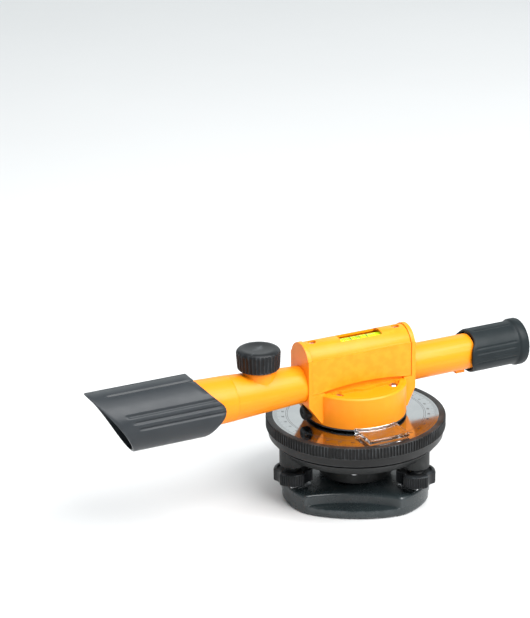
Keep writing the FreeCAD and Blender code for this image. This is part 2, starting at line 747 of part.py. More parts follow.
def make_objective():
    """Objective barrel with the seat for the sunshade, its lens pair and lock ring."""
    seam = size("seam_x")
    seat = size("hood_seat")
    keep("objective_barrel", sighted("objective_barrel", [
        (-91.2, 11.5), (-91.2, 13), (-seam, 13), (-seam, 15.7), (-124, 16.6), (-128, 17.4), (-130, seat),
        (-143.4, seat), (-144, seat - 0.6), (-144, 16), (-134, 16), (-134, 14), (-128, 12.5)]))
    keep("objective_crown", sighted("objective_crown", [(-140, 0), (-139.6, 6), (-138.2, 12), (-137, 16),
                                                        (-136.4, 16), (-135.9, 8), (-135.7, 0)]))
    keep("objective_flint", sighted("objective_flint", [(-135.6, 0), (-135.8, 8), (-136.3, 16), (-134, 16),
                                                        (-134, 0)]))
    keep("objective_ring", sighted("objective_ring", [
        (-142.6, 13.6), (-142.6, 16), (-140.1, 16), (-140.1, 13.6)]))


def make_hood():
    """The sunshade: a sleeve with a swept, hollow-curved mouth and side tongues behind."""
    tip = size("hood_tip")
    outer = size("hood_radius")
    bore = size("hood_bore")
    tongue = size("hood_tongue")
    sight = size("sight_height")
    sleeve = sighted("hood_sleeve", [(-tip, bore + 0.4), (-tip, outer), (-tongue, outer), (-tongue, bore)])
    mouth_radius = 82.3
    mouth = cylinder("hood_mouth_cut", mouth_radius, 80, (-tip - 51.5, -40, sight - 42.4), "Y")
    notch_radius = 22.4
    notch = cylinder("hood_upper_notch", notch_radius, 40, (-tongue + 4.4, 0, sight + 7))
    taper = Rotation(Vector(0, 1, 0), -56)
    below = box("hood_lower_cut", (0, 0, 0), (80, 80, 60))
    below.Placement = Placement(Vector(-tongue.value, -40, sight.value - 2.0), taper).multiply(
        Placement(Vector(-20, 0, -60), Rotation()))
    keep("hood", cut("hood", sleeve, [mouth, notch, below]))


def make_focus():
    """Focus knob, pinion shaft, its bush, and the racked carrier with its lens."""
    x = size("focus_x")
    shaft = 2.5
    bush = shaft + 0.06
    boss_top = size("focus_boss_top")
    keep("focus_bush", turned("focus_bush", [(bush, 100.6), (4.2, 100.6), (4.2, boss_top), (bush, boss_top)],
                              at=(-x, 0, 0)))
    pitch_radius = size("pinion_radius")
    teeth = 14
    tip = pitch_radius.value + 0.4
    root = pitch_radius.value - 0.55
    step = 2 * math.pi / teeth
    corners = []
    for tooth in range(teeth):
        middle = tooth * step + math.pi / 2
        for radius, offset in ((root, -0.30), (tip, -0.11), (tip, 0.11), (root, 0.30)):
            angle = middle + offset * step
            corners.append(Vector(radius * math.cos(angle), radius * math.sin(angle), 0))
    wheel = Part.Face(Part.makePolygon(corners + corners[:1])).extrude(Vector(0, 0, 2.0))
    wheel.translate(Vector(0, 0, 95.7))
    rod = Part.makeCylinder(shaft, 23.0, Vector(0, 0, 95.7))
    pinion = document.addObject("Part::Feature", "focus_pinion")
    pinion.Shape = wheel.fuse(rod).removeSplitter()
    keep("focus_pinion", place(pinion, (-x, 0, 0)))
    low = size("focus_knob_bottom")
    top = size("focus_knob_top")
    shaft_top = 118.7
    keep("focus_knob", turned("focus_knob", [
        (shaft, low), (13.8, low), (14.4, low + 0.6), (15.0, top - 3), (14.2, top - 1.2), (11.8, top),
        (9.4, top), (8.6, top - 0.8), (0, top - 0.8), (0, shaft_top), (shaft, shaft_top)], at=(-x, 0, 0)))
    make_focus_carrier(x, pitch_radius.value, step)


def make_focus_carrier(x, pitch_radius, step):
    """A sliding tube with a flat on top and a short rack beside it."""
    half = 12.0
    sight = DIMENSIONS["sight_height"]
    middle = -value_of(x)
    outer = Part.makeCylinder(9.0, 2 * half, Vector(middle - half, 0, sight), Vector(1, 0, 0))
    bore = Part.makeCylinder(7.5, 2 * half + 2, Vector(middle - half - 1, 0, sight), Vector(1, 0, 0))
    flat = Part.makeBox(2 * half + 2, 9.05, 6, Vector(middle - half - 1, -5, sight + 6.5))
    tooth_pitch = pitch_radius * step
    tip_y = pitch_radius - 0.4
    root_y = pitch_radius + 0.55
    back_y = 5.5
    corners = [Vector(middle - half, back_y, 0), Vector(middle - half, root_y, 0)]
    count = int(2 * half / tooth_pitch) - 1
    for tooth in range(count):
        centre = middle + (tooth - count / 2.0 + 0.5) * tooth_pitch
        if count % 2:
            centre += tooth_pitch / 2
        for y, offset in ((root_y, -0.28), (tip_y, -0.12), (tip_y, 0.12), (root_y, 0.28)):
            corners.append(Vector(centre + offset * tooth_pitch, y, 0))
    corners += [Vector(middle + half, root_y, 0), Vector(middle + half, back_y, 0)]
    rack = Part.Face(Part.makePolygon(corners + corners[:1])).extrude(Vector(0, 0, 3.6))
    rack.translate(Vector(0, 0, sight + 5.6))
    tube = outer.cut(bore).cut(flat)
    rack = rack.cut(Part.makeCylinder(8.0, 60, Vector(middle - 30, 0, sight), Vector(1, 0, 0)))
    carrier = document.addObject("Part::Feature", "focus_carrier")
    carrier.Shape = tube.fuse(rack).removeSplitter()
    keep("focus_carrier", carrier)
    keep("focus_lens", sighted("focus_lens", [
        (middle - half + 1, 0), (middle - half + 1.4, 4), (middle - half + 0.6, 6.3),
        (middle - half + 4, 6.3), (middle - half + 3.2, 4), (middle - half + 3.5, 0)]))


def make_reticle():
    """The cross-hair glass in its ring."""
    keep("reticle_ring", sighted("reticle_ring", [
        (55, 6), (55, 10.6), (59, 10.6), (59, 5), (57, 5), (57, 6)]))
    keep("reticle_glass", sighted("reticle_glass", [(55.3, 0), (55.3, 6), (57, 6), (57, 0)]))


def make_eyepiece():
    """Eyepiece mount, sliding lens cell, dioptre ring and rubber eyecup."""
    end = size("rear_end")
    keep("eyepiece_mount", sighted("eyepiece_mount", [
        (76, 9), (76, 10.6), (end, 10.6), (end, 11.8), (end + 1.6, 11.8), (end + 1.6, 10.8),
        (111, 10.8), (111, 9)]))
    keep("eyepiece_cell", sighted("eyepiece_cell", [
        (92, 7.6), (92, 8.92), (116, 8.92), (116, 7.6), (113, 7.6), (113, 6.4), (99, 6.4), (99, 7.6)]))
    keep("field_lens", sighted("field_lens", [
        (94.6, 0), (94.9, 4), (96, 7.6), (98.9, 7.6), (98.9, 0)]))
    keep("eye_lens", sighted("eye_lens", [
        (113.1, 0), (113.1, 7.6), (114.4, 7.6), (115.4, 4), (115.7, 0)]))
    ring = size("eyecup_radius") - 2
    keep("dioptre_ring", sighted("dioptre_ring", [
        (90.2, 10.86), (90.2, ring), (126, ring), (126, 8.2), (118.5, 8.2), (118.5, 9.8),
        (112.6, 9.8), (112.6, 10.86)]))
    outer = size("eyecup_radius")
    lip = size("eyecup_lip")
    finish = size("eyecup_end")
    start = size("eyecup_start")
    sleeve = sighted("eyecup_sleeve", [
        (start, ring), (start, outer - 0.6), (end + 2, outer), (finish - 8.5, outer), (finish - 6.5, lip),
        (finish - 0.8, lip), (finish, lip - 0.8), (finish, 13.2), (127.2, 9.6), (126, 9.6), (126, ring)])
    sight = size("sight_height")
    tongue_half = 8.2
    above = box("eyecup_trim_above", (70, -20, sight + tongue_half), (end, 20, sight + 20))
    below = box("eyecup_trim_below", (70, -20, sight - 20), (end, 20, sight - tongue_half))
    keep("eyecup", cut("eyecup", sleeve, [above, below]))


def make_all():
    make_base_plate()
    make_tripod_bush()
    make_hold_down()
    make_hold_down_spring()
    make_foot_retainers()
    for name, angle in FEET.items():
        make_foot(name, angle)
    make_levelling_head()
    make_head_fittings()
    make_circle()
    make_housing()
    make_collar()
    make_spindle()
    make_index_window()
    make_clamp()
    make_vial_cover()
    make_vial()
    make_tubes()
    make_objective()
    make_hood()
    make_focus()
    make_reticle()
    make_eyepiece()


def check_and_export():
    document.recompute()
    for thing in document.Objects:
        if "Invalid" in thing.State or "Error" in thing.State:
            raise RuntimeError("%s did not build: %s" % (thing.Name, thing.State))
    os.makedirs("parts", exist_ok=True)
    for label, thing in PIECES.items():
        shape = thing.Shape
        if shape.isNull() or not shape.isValid() or not shape.Solids:
            raise RuntimeError("%s has no valid solid" % label)
        print("%-20s solids %d  volume %9.1f" % (label, len(shape.Solids), shape.Volume))
    for label, thing in PIECES.items():
        thing.Shape.exportStep(os.path.join("parts", label + ".step"))


make_all()
check_and_export()
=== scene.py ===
import json
import math

import bpy
from mathutils import Matrix, Vector


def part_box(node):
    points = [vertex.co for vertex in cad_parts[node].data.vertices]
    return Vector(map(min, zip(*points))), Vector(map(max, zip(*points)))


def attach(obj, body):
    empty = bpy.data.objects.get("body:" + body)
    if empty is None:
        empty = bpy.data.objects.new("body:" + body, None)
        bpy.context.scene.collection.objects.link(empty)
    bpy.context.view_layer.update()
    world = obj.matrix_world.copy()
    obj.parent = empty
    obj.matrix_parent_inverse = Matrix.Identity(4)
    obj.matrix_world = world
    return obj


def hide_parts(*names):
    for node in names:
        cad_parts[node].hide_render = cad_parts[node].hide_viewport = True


# A builder's level: orange telescope and turret, black levelling base, silver circle.
# Lengths are metres in the row frame.  The eyepiece is toward +X, the sunshade toward -X.

MM = 0.001

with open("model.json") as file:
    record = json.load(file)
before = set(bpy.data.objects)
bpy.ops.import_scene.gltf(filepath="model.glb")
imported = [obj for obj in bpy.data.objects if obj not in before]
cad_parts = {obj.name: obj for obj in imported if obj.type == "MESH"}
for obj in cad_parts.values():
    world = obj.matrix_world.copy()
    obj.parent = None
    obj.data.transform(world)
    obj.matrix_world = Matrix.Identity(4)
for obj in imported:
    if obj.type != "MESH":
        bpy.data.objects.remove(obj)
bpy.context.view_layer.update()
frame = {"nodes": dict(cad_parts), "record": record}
SLOT_OF = {part["node"]: part["material_slot"] for part in frame["record"]["subparts"]}


# ---------------------------------------------------------------- camera, light and floor

VIEW_AZIMUTH = math.radians(-28.0)
VIEW_ELEVATION = math.radians(23.4)
VIEW_DISTANCE = 1.5
VIEW_HEIGHT = 0.0583
LENS_MM = 126.64
LOOK_LEFT = math.radians(2.384)
LOOK_UP = math.radians(2.758)


def toward(azimuth, elevation):
    """The direction from the object to a viewer; azimuth 0 stands on the -Y side."""
    flat = math.cos(elevation)
    return Vector((math.sin(azimuth) * flat, -math.cos(azimuth) * flat, math.sin(elevation)))


def aimed(back):
    """A rotation whose local Z is back and whose local Y is as upright as can be."""
    right = Vector((0, 0, 1)).cross(back).normalized()
    return Matrix((right, back.cross(right), back)).transposed()


def make_camera():
    """The instrument stands low and right of the picture's middle, so the camera is turned."""
    target = Vector((0, 0, VIEW_HEIGHT))
    back = toward(VIEW_AZIMUTH, VIEW_ELEVATION)
    data = bpy.data.cameras.new("camera")
    data.lens = LENS_MM
    data.clip_end = 30
    camera = bpy.data.objects.new("camera", data)
    turn = Matrix.Rotation(LOOK_UP, 3, "X") @ Matrix.Rotation(LOOK_LEFT, 3, "Y")
    camera.matrix_world = (Matrix.Translation(target + back * VIEW_DISTANCE)
                           @ (aimed(back) @ turn).to_4x4())
    bpy.context.scene.collection.objects.link(camera)
    bpy.context.scene.camera = camera


def add_light(name, azimuth, elevation, distance, width, height, power, colour=(1, 1, 1)):
    """A soft rectangular lamp that faces the object."""
    back = toward(math.radians(azimuth), math.radians(elevation))
    data = bpy.data.lights.new(name, "AREA")
    data.shape = "RECTANGLE"
    data.size = width
    data.size_y = height
    data.energy = power
    data.color = colour
    lamp = bpy.data.objects.new(name, data)
    lamp.matrix_world = (Matrix.Translation(Vector((0, 0, 0.08)) + back * distance)
                         @ aimed(back).to_4x4())
    bpy.context.scene.collection.objects.link(lamp)


def make_light():
    world = bpy.data.worlds.new("studio")
    world.use_nodes = True
    background = world.node_tree.nodes["Background"]
    background.inputs["Color"].default_value = (0.90, 0.97, 1.0, 1)
    background.inputs["Strength"].default_value = 0.48
    bpy.context.scene.world = world
    add_light("key", 22, 46, 1.7, 1.6, 1.2, 50)
    add_light("overhead", -20, 80, 1.9, 1.8, 1.5, 28)
    add_light("back_panel", 152, 26, 2.4, 3.0, 1.4, 10, (0.96, 1.0, 1.0))
    bpy.context.scene.view_settings.view_transform = "Standard"


def make_floor():
    reach = 9.0
    data = bpy.data.meshes.new("floor")
    corners = [(-reach, -reach, 0), (reach, -reach, 0), (reach, reach, 0), (-reach, reach, 0)]
    data.from_pydata(corners, [], [(0, 1, 2, 3)])
    floor = bpy.data.objects.new("floor", data)
    bpy.context.scene.collection.objects.link(floor)
    paint = Paint("floor_paint")
    paint.mottled((0.70, 0.70, 0.70), (0.69, 0.69, 0.69), 3.0)
    paint.uneven_gloss(0.6, 0.75, 5.0)
    data.materials.append(paint.material)


# ---------------------------------------------------------------- materials

class Paint:
    """One procedural material, with short ways to add the detail that surfaces share."""

    def __init__(self, name):
        self.material = bpy.data.materials.new(name)
        self.material.use_nodes = True
        self.tree = self.material.node_tree
        self.shader = self.tree.nodes["Principled BSDF"]
        self.place = self.add("ShaderNodeTexCoord").outputs["Object"]

    def add(self, kind, inputs=None, **settings):
        node = self.tree.nodes.new(kind)
        for name, value in settings.items():
            setattr(node, name, value)
        for name, value in (inputs or {}).items():
            self.feed(node.inputs[name], value)
        return node

    def feed(self, socket, value):
        if isinstance(value, bpy.types.NodeSocket):
            self.tree.links.new(value, socket)
        else:
            socket.default_value = value

    def set(self, **values):
        """Sets shader sockets that are the same all over; underscores stand for spaces."""
        for name, value in values.items():
            self.shader.inputs[name.replace("_", " ")].default_value = value

    def sum(self, operation, first, second=0.0, third=0.0):
        node = self.add("ShaderNodeMath", {0: first, 1: second, 2: third}, operation=operation)
        return node.outputs[0]

    def noise(self, scale, detail=3.0, stretch=(1, 1, 1)):
        spread = self.add("ShaderNodeMapping", {"Vector": self.place, "Scale": stretch})
        node = self.add("ShaderNodeTexNoise", {
            "Vector": spread.outputs[0], "Scale": scale, "Detail": detail, "Roughness": 0.55})
        return node.outputs["Fac"]

    def ranged(self, value, low, high, to_low=0.0, to_high=1.0):
        node = self.add("ShaderNodeMapRange", {
            "Value": value, "From Min": low, "From Max": high, "To Min": to_low, "To Max": to_high})
        return node.outputs["Result"]

    def mixed(self, amount, first, second):
        node = self.add("ShaderNodeMix", {0: amount}, data_type="RGBA")
        for index, colour in ((6, first), (7, second)):
            self.feed(node.inputs[index], colour if isinstance(colour, bpy.types.NodeSocket)
                      else (*colour, 1.0))
        return node.outputs[2]

    def mottled(self, colour, other, scale):
        """Slow drift between two close colours."""
        self.colour = self.mixed(self.ranged(self.noise(scale), 0.35, 0.65), colour, other)
        self.feed(self.shader.inputs["Base Color"], self.colour)

    def speckled(self, colour, scale, amount):
        """Fine dust and flecks in another colour."""
        flecks = self.ranged(self.noise(scale, 1.0), 0.60, 0.72, 0.0, amount)
        self.colour = self.mixed(flecks, self.colour, colour)
        self.feed(self.shader.inputs["Base Color"], self.colour)

    def rubbed(self, colour, amount):
        """Edges rubbed toward another colour, more in some places than others."""
        edge = self.ranged(self.add("ShaderNodeNewGeometry").outputs["Pointiness"],
                           0.515, 0.56, 0.0, amount)
        patch = self.ranged(self.noise(160.0, 4.0), 0.42, 0.62)
        self.colour = self.mixed(self.sum("MULTIPLY", edge, patch), self.colour, colour)
        self.feed(self.shader.inputs["Base Color"], self.colour)

    def uneven_gloss(self, low, high, scale):
        """Roughness that drifts slowly, with a little fine grain on top."""
        slow = self.ranged(self.noise(scale, 4.0), 0.3, 0.7, low, high)
        fine = self.ranged(self.noise(scale * 14, 2.0), 0.3, 0.7, -0.02, 0.02)
        self.feed(self.shader.inputs["Roughness"], self.sum("ADD", slow, fine))

    def grained(self, scale, depth_mm, detail=2.0, stretch=(1, 1, 1)):
        bump = self.add("ShaderNodeBump", {
            "Height": self.noise(scale, detail, stretch), "Distance": depth_mm * MM, "Strength": 1.0})
        self.feed(self.shader.inputs["Normal"], bump.outputs["Normal"])


def moulded(name, colour, other, gloss, grain, shine, wear=(0.12, 0.13, 0.14), wear_amount=0.35):
    """Moulded plastic: colour drift, matt flecks, a fine grain and slightly rubbed edges."""
    paint = Paint(name)
    paint.mottled(colour, other, 45.0)
    paint.speckled(other, 1500.0, 0.35)
    paint.rubbed(wear, wear_amount)
    paint.uneven_gloss(*gloss, 70.0)
    paint.grained(*grain)
    paint.set(Specular_IOR_Level=shine)
    return paint


def orange_plastic():
    paint = Paint("orange_plastic_paint")
    paint.mottled((0.90, 0.262, 0.003), (0.895, 0.255, 0.003), 22.0)
    paint.rubbed((1.0, 0.38, 0.02), 0.3)
    paint.uneven_gloss(0.36, 0.42, 35.0)
    paint.grained(1300.0, 0.005, 1.5)
    paint.set(Specular_IOR_Level=0.3)
    return paint


def metal(name, colour, other, gloss, stretch, depth_mm=0.004):
    """Machined metal with tool marks drawn out along one direction."""
    paint = Paint(name)
    paint.mottled(colour, other, 120.0)
    paint.rubbed([min(1.0, c * 1.35) for c in colour], 0.5)
    paint.uneven_gloss(*gloss, 140.0)
    paint.grained(900.0, depth_mm, 4.0, stretch)
    paint.set(Metallic=1.0)
    return paint


def circle_metal():
    """The silvered plate: a tick at each degree, longer at each fifth and tenth, and two rings."""
    paint = Paint("circle_metal_paint")
    paint.mottled((0.41, 0.42, 0.42), (0.38, 0.39, 0.395), 60.0)
    paint.uneven_gloss(0.09, 0.15, 80.0)
    paint.grained(700.0, 0.0008, 2.0)
    parts = paint.add("ShaderNodeSeparateXYZ", {"Vector": paint.place}).outputs
    angle = paint.sum("ARCTAN2", parts["Y"], parts["X"])
    radius = paint.sum("SQRT", paint.sum("ADD", paint.sum("MULTIPLY", parts["X"], parts["X"]),
                                         paint.sum("MULTIPLY", parts["Y"], parts["Y"])))
    inked = 0.0
    for degrees, inner in ((1, 54.3), (5, 53.3), (10, 52.5)):
        step = math.radians(degrees)
        beside = paint.sum("PINGPONG", angle, step / 2)
        turn = paint.sum("LESS_THAN", paint.sum("MULTIPLY", beside, radius), 0.12 * MM)
        outer_part = paint.sum("GREATER_THAN", radius, inner * MM)
        inked = paint.sum("MAXIMUM", paint.sum("MULTIPLY", turn, outer_part), inked)
    inked = paint.sum("MULTIPLY", inked, paint.sum("LESS_THAN", radius, 56.7 * MM))
    for ring in (47.0, 48.1):
        line = paint.sum("COMPARE", radius, ring * MM, 0.16 * MM)
        inked = paint.sum("MAXIMUM", inked, line)
    paint.colour = paint.mixed(inked, paint.colour, (0.03, 0.035, 0.04))
    paint.feed(paint.shader.inputs["Base Color"], paint.colour)
    paint.feed(paint.shader.inputs["Metallic"], paint.ranged(inked, 0.0, 1.0, 1.0, 0.0))
    paint.set(Coat_Weight=0.3, Coat_Roughness=0.05)
    return paint


def clear(name, colour, other, index, gloss=(0.02, 0.05), transmission=1.0):
    """Clear glass or acrylic with faint smears."""
    paint = Paint(name)
    paint.mottled(colour, other, 90.0)
    paint.uneven_gloss(*gloss, 110.0)
    paint.grained(400.0, 0.0008, 1.0)
    paint.set(IOR=index, Transmission_Weight=transmission)
    return paint


def vial_glass():
    paint = clear("vial_glass_paint", (0.97, 1.0, 0.96), (0.95, 0.99, 0.93), 1.36)
    paint.set(Specular_IOR_Level=0.25)
    return paint


def vial_liquid():
    """Lime liquid with a painted glow: a small emission makes it look more brightly lit than the lamps
    leave it.
    """
    paint = clear("vial_liquid_painted_glow_paint", (0.60, 0.80, 0.012), (0.55, 0.77, 0.010), 1.33, (0.2, 0.3), 0.05)
    # Painted glow: this emission lights the liquid although it is no lamp.
    paint.set(Emission_Color=(0.52, 0.72, 0.01, 1), Emission_Strength=0.4, Specular_IOR_Level=0.15)
    return paint


def lens_glass():
    paint = clear("lens_glass_paint", (0.97, 0.98, 1.0), (0.94, 0.96, 1.0), 1.52)
    paint.set(Thin_Film_Thickness=420.0, Thin_Film_IOR=1.38)
    return paint


def make_paints():
    return {
        "orange_plastic": orange_plastic(),
        # These near-black colours are the plastics' own, but the slight teal tint in the black plastic,
        # hood and eyecup colours is painted reflection of a pale bluish surround.
        "black_plastic": moulded("black_plastic_paint", (0.020, 0.027, 0.029), (0.016, 0.022, 0.024),
                                 (0.22, 0.34), (2200.0, 0.007), 0.55),
        # Darker copy of the black plastic for the levelling head: painted shade for where it sits under
        # the circle ring.
        "head": moulded("head_plastic_painted_shade_paint", (0.006, 0.007, 0.007), (0.004, 0.005, 0.005),
                        (0.46, 0.6), (2400.0, 0.012), 0.4, (0.05, 0.05, 0.05)),
        "ring_plastic": moulded("ring_plastic_paint", (0.013, 0.013, 0.013), (0.010, 0.010, 0.010),
                                (0.36, 0.48), (2600.0, 0.010), 0.2),
        "knob_plastic": moulded("knob_plastic_paint", (0.009, 0.010, 0.011), (0.007, 0.008, 0.009),
                                (0.30, 0.42), (2400.0, 0.010), 0.2),
        "hood_plastic": moulded("hood_plastic_paint", (0.026, 0.030, 0.034), (0.021, 0.025, 0.029),
                                (0.32, 0.44), (2000.0, 0.010), 0.26),
        "eyecup_rubber": moulded("eyecup_rubber_paint", (0.013, 0.018, 0.020), (0.010, 0.014, 0.016),
                                 (0.38, 0.52), (3000.0, 0.014), 0.16),
        "black_metal": moulded("black_metal_paint", (0.014, 0.014, 0.015), (0.010, 0.010, 0.011),
                               (0.5, 0.65), (2800.0, 0.006), 0.4, (0.2, 0.2, 0.2), 0.5),
        "steel": metal("steel_paint", (0.60, 0.60, 0.61), (0.52, 0.52, 0.54), (0.22, 0.34), (1, 1, 9)),
        "spring_steel": metal("spring_steel_paint", (0.42, 0.42, 0.44), (0.34, 0.34, 0.37),
                              (0.25, 0.4), (3, 3, 1)),
        "brass": metal("brass_paint", (0.72, 0.50, 0.20), (0.62, 0.42, 0.16), (0.25, 0.4), (1, 1, 12)),
        "circle_metal": circle_metal(),
        "clear_plastic": clear("clear_plastic_paint", (0.98, 0.97, 0.97), (0.95, 0.94, 0.94), 1.49,
                               (0.06, 0.14)),
        "vial_glass": vial_glass(),
        "vial_liquid": vial_liquid(),
        "lens_glass": lens_glass(),
    }


# ---------------------------------------------------------------- mesh helpers

SMOOTH_ANGLE = math.radians(38)


def skin(name, rings, body, slot, closed=False):
    """A piece skinned over rings of points; closed joins the last ring to the first."""
    count = len(rings[0])
    points = [point for ring in rings for point in ring]
    faces = []
    for row in range(len(rings) if closed else len(rings) - 1):
        near = row * count
        far = (row + 1) % len(rings) * count
        for index in range(count):
            after = (index + 1) % count
            faces.append((near + index, near + after, far + after, far + index))
    if not closed:
        faces.append(tuple(reversed(range(count))))
        faces.append(tuple(range(len(points) - count, len(points))))
    return finished(name, points, faces, body, slot)


def finished(name, points, faces, body, slot):
    """Makes the mesh, shades it, paints it and puts it on its body."""
    data = bpy.data.meshes.new(name)
    data.from_pydata(points, [], faces)
    data.validate()
    data.shade_smooth()
    data.set_sharp_from_angle(angle=SMOOTH_ANGLE)
    data.materials.append(PAINTS[slot].material)
    piece = bpy.data.objects.new(name, data)
    bpy.context.scene.collection.objects.link(piece)
    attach(piece, body)
    return piece


def turned_rings(outline, count, centre, axis="Z"):
    """Rings about an axis.  Each outline entry is (along, radius), radius a number or f(angle)."""
    rings = []
    for along, radius in outline:
        ring = []
        for index in range(count):
            angle = 2 * math.pi * index / count
            reach = radius(angle) if callable(radius) else radius
            across = (reach * math.cos(angle), reach * math.sin(angle))
            if axis == "Z":
                point = (centre[0] + across[0], centre[1] + across[1], along)
            else:
                point = (along, centre[1] - across[0], centre[2] + across[1])
            ring.append([coordinate * MM for coordinate in point])
        rings.append(ring)
    return rings


def ribs(count, depth, flat=0.5):
    """A ribbed surface: how far it lies below its crests at an angle."""
    def below(angle):
        share = (angle * count / (2 * math.pi)) % 1.0
        slope = (1 - flat) / 2
        return depth * min(1.0, max(0.0, (abs(share - 0.5) * 2 - (1 - flat - slope)) / slope))
    return below


def soft_min(first, second, blend):
    share = min(1.0, max(0.0, 0.5 + 0.5 * (second - first) / blend))
    return second * (1 - share) + first * share - blend * share * (1 - share)


def box_mm(node):
    low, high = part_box(node)
    return low / MM, high / MM


def soften(node, width_mm, segments=3):
    """Rounds a CAD node's edges: flat faces are joined first, so that the rounding is clean."""
    piece = frame["nodes"][node]
    weld = piece.modifiers.new("weld", "WELD")
    weld.merge_threshold = 0.002 * MM
    flatten = piece.modifiers.new("flatten", "DECIMATE")
    flatten.decimate_type = "DISSOLVE"
    flatten.angle_limit = math.radians(0.6)
    bevel = piece.modifiers.new("round", "BEVEL")
    bevel.width = width_mm * MM
    bevel.segments = segments
    bevel.limit_method = "ANGLE"
    bevel.angle_limit = math.radians(35)
    bevel.harden_normals = True


def paint_frame():
    """Gives every CAD node its slot's finish, except that the levelling head gets a rougher and much
    darker copy of the black plastic; the extra darkness is painted shade for its place under the circle
    ring.
    """
    for node, piece in frame["nodes"].items():
        # The levelling head takes the darker copy, whose darkness is painted shade.
        paint = PAINTS["head" if node == "levelling_head" else SLOT_OF[node]]
        piece.data.materials.clear()
        piece.data.materials.append(paint.material)


# ---------------------------------------------------------------- base and levelling screws

SCOOPS = (0.0, 120.0, 240.0)


def nearest_turn(angle, turns):
    """The signed angle from the nearest of several directions."""
    gaps = [(angle - math.radians(turn) + math.pi) % (2 * math.pi) - math.pi for turn in turns]
    return min(gaps, key=abs)


def make_base():
    """The three-lobed plate: scooped sides above a bowed skirt, all softly rounded."""
    low, high = box_mm("base_plate")
    edge = (high.y - low.y) / 2
    top = high.z
    step = 6.5
    scoop_radius, scoop_shift = 84.0, 118.0
    skirt_radius, skirt_shift = 90.0, 43.3
    foot_rise = 2.6
    shoulder, fall = 2.6, 0.5
    screw_hole = 2.55
    bush = box_mm("tripod_bush")[1]
    hole, roof = bush.x + 0.05, bush.z + 0.05

    def scooped(angle):
        away = nearest_turn(angle, SCOOPS)
        side = scoop_shift * math.sin(away)
        if abs(side) >= scoop_radius:
            return edge
        near = scoop_shift * math.cos(away) - math.sqrt(scoop_radius ** 2 - side ** 2)
        return soft_min(edge, near, 2.2)

    def skirted(angle):
        away = nearest_turn(angle, SCOOPS)
        side = skirt_shift * math.sin(away)
        reach = math.sqrt(skirt_radius ** 2 - side ** 2) - skirt_shift * math.cos(away)
        return soft_min(edge, reach, 3.0)

    def ledge(angle):
        return min(1.0, max(0.0, skirted(angle) - scooped(angle)) / 2.5)

    def tucked(angle, sine):
        """The rounding under the skirt: small at the lobes, larger along the bows."""
        return skirted(angle) - (1.8 + 2.2 * ledge(angle)) * (1 - sine)

    outline = [(0, hole), (0, lambda a: tucked(a, 0))]
    for part in range(1, 8):
        turn = math.radians(90 * part / 7)
        outline.append((foot_rise * (1 - math.cos(turn)), lambda a, t=turn: tucked(a, math.sin(t))))
    outline += [
        (step - 0.7, skirted),
        (step - 0.2, lambda a: skirted(a) - 0.25 * ledge(a)),
        (step, lambda a: skirted(a) - 0.9 * ledge(a)),
        (step + 0.1, lambda a: scooped(a) + 1.3 * ledge(a)),
        (step + 0.5, lambda a: scooped(a) + 0.4 * ledge(a)),
        (step + 1.4, scooped)]
    for part in range(0, 8):
        turn = math.radians(80 * part / 7)
        outline.append((top - fall - shoulder * (1 - math.sin(turn)),
                        lambda a, t=turn: scooped(a) - shoulder * (1 - math.cos(t))))
    outline += [(top - 0.2, lambda a: scooped(a) - 6.0), (top, lambda a: scooped(a) - 11.0),
                (top, screw_hole), (roof, screw_hole), (roof, hole)]
    piece = skin("base_plate_shell", turned_rings(outline, 360, (0, 0, 0)), "base",
                 "black_plastic", closed=True)
    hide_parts("base_plate")


def make_foot_knob(name):
    """Three ribbed lobes with three smooth hollows between them."""
    low, high = box_mm("foot_knob_" + name)
    screw_low, screw_high = box_mm("foot_screw_" + name)
    centre = (screw_low + screw_high) / 2
    bore = 3.02
    radius = 13.4
    hollow_radius, hollow_shift = 9.5, 20.8
    below = ribs(51, 0.5)

    def lobed(angle, inset=0.0, ribbed=0.0):
        away = nearest_turn(angle, (60.0, 180.0, 300.0))
        side = hollow_shift * math.sin(away)
        reach = radius - ribbed * below(angle)
        if abs(side) < hollow_radius:
            near = hollow_shift * math.cos(away) - math.sqrt(hollow_radius ** 2 - side ** 2)
            reach = soft_min(reach, near, 0.9)
        return reach - inset

    floor, top = low.z, high.z
    outline = [(floor, bore), (floor, 8.0), (floor, lambda a: lobed(a, 1.1)),
               (floor + 0.35, lambda a: lobed(a, 0.35)), (floor + 0.9, lambda a: lobed(a, 0.05)),
               (floor + 1.2, lambda a: lobed(a, 0, 1)), (top - 1.3, lambda a: lobed(a, 0, 1)),
               (top - 0.9, lambda a: lobed(a, 0.05)), (top - 0.35, lambda a: lobed(a, 0.35)),
               (top, lambda a: lobed(a, 1.2)), (top, lambda a: lobed(a, 2.4)),
               (top - 0.8, lambda a: lobed(a, 3.1)), (top - 0.8, 5.8), (top, 5.2), (top, bore)]
    piece = skin("foot_knob_%s_grip" % name, turned_rings(outline, 408, centre), "foot_" + name,
                 "knob_plastic", closed=True)
    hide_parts("foot_knob_" + name)


# ---------------------------------------------------------------- horizontal circle

RING_RIBS = 169


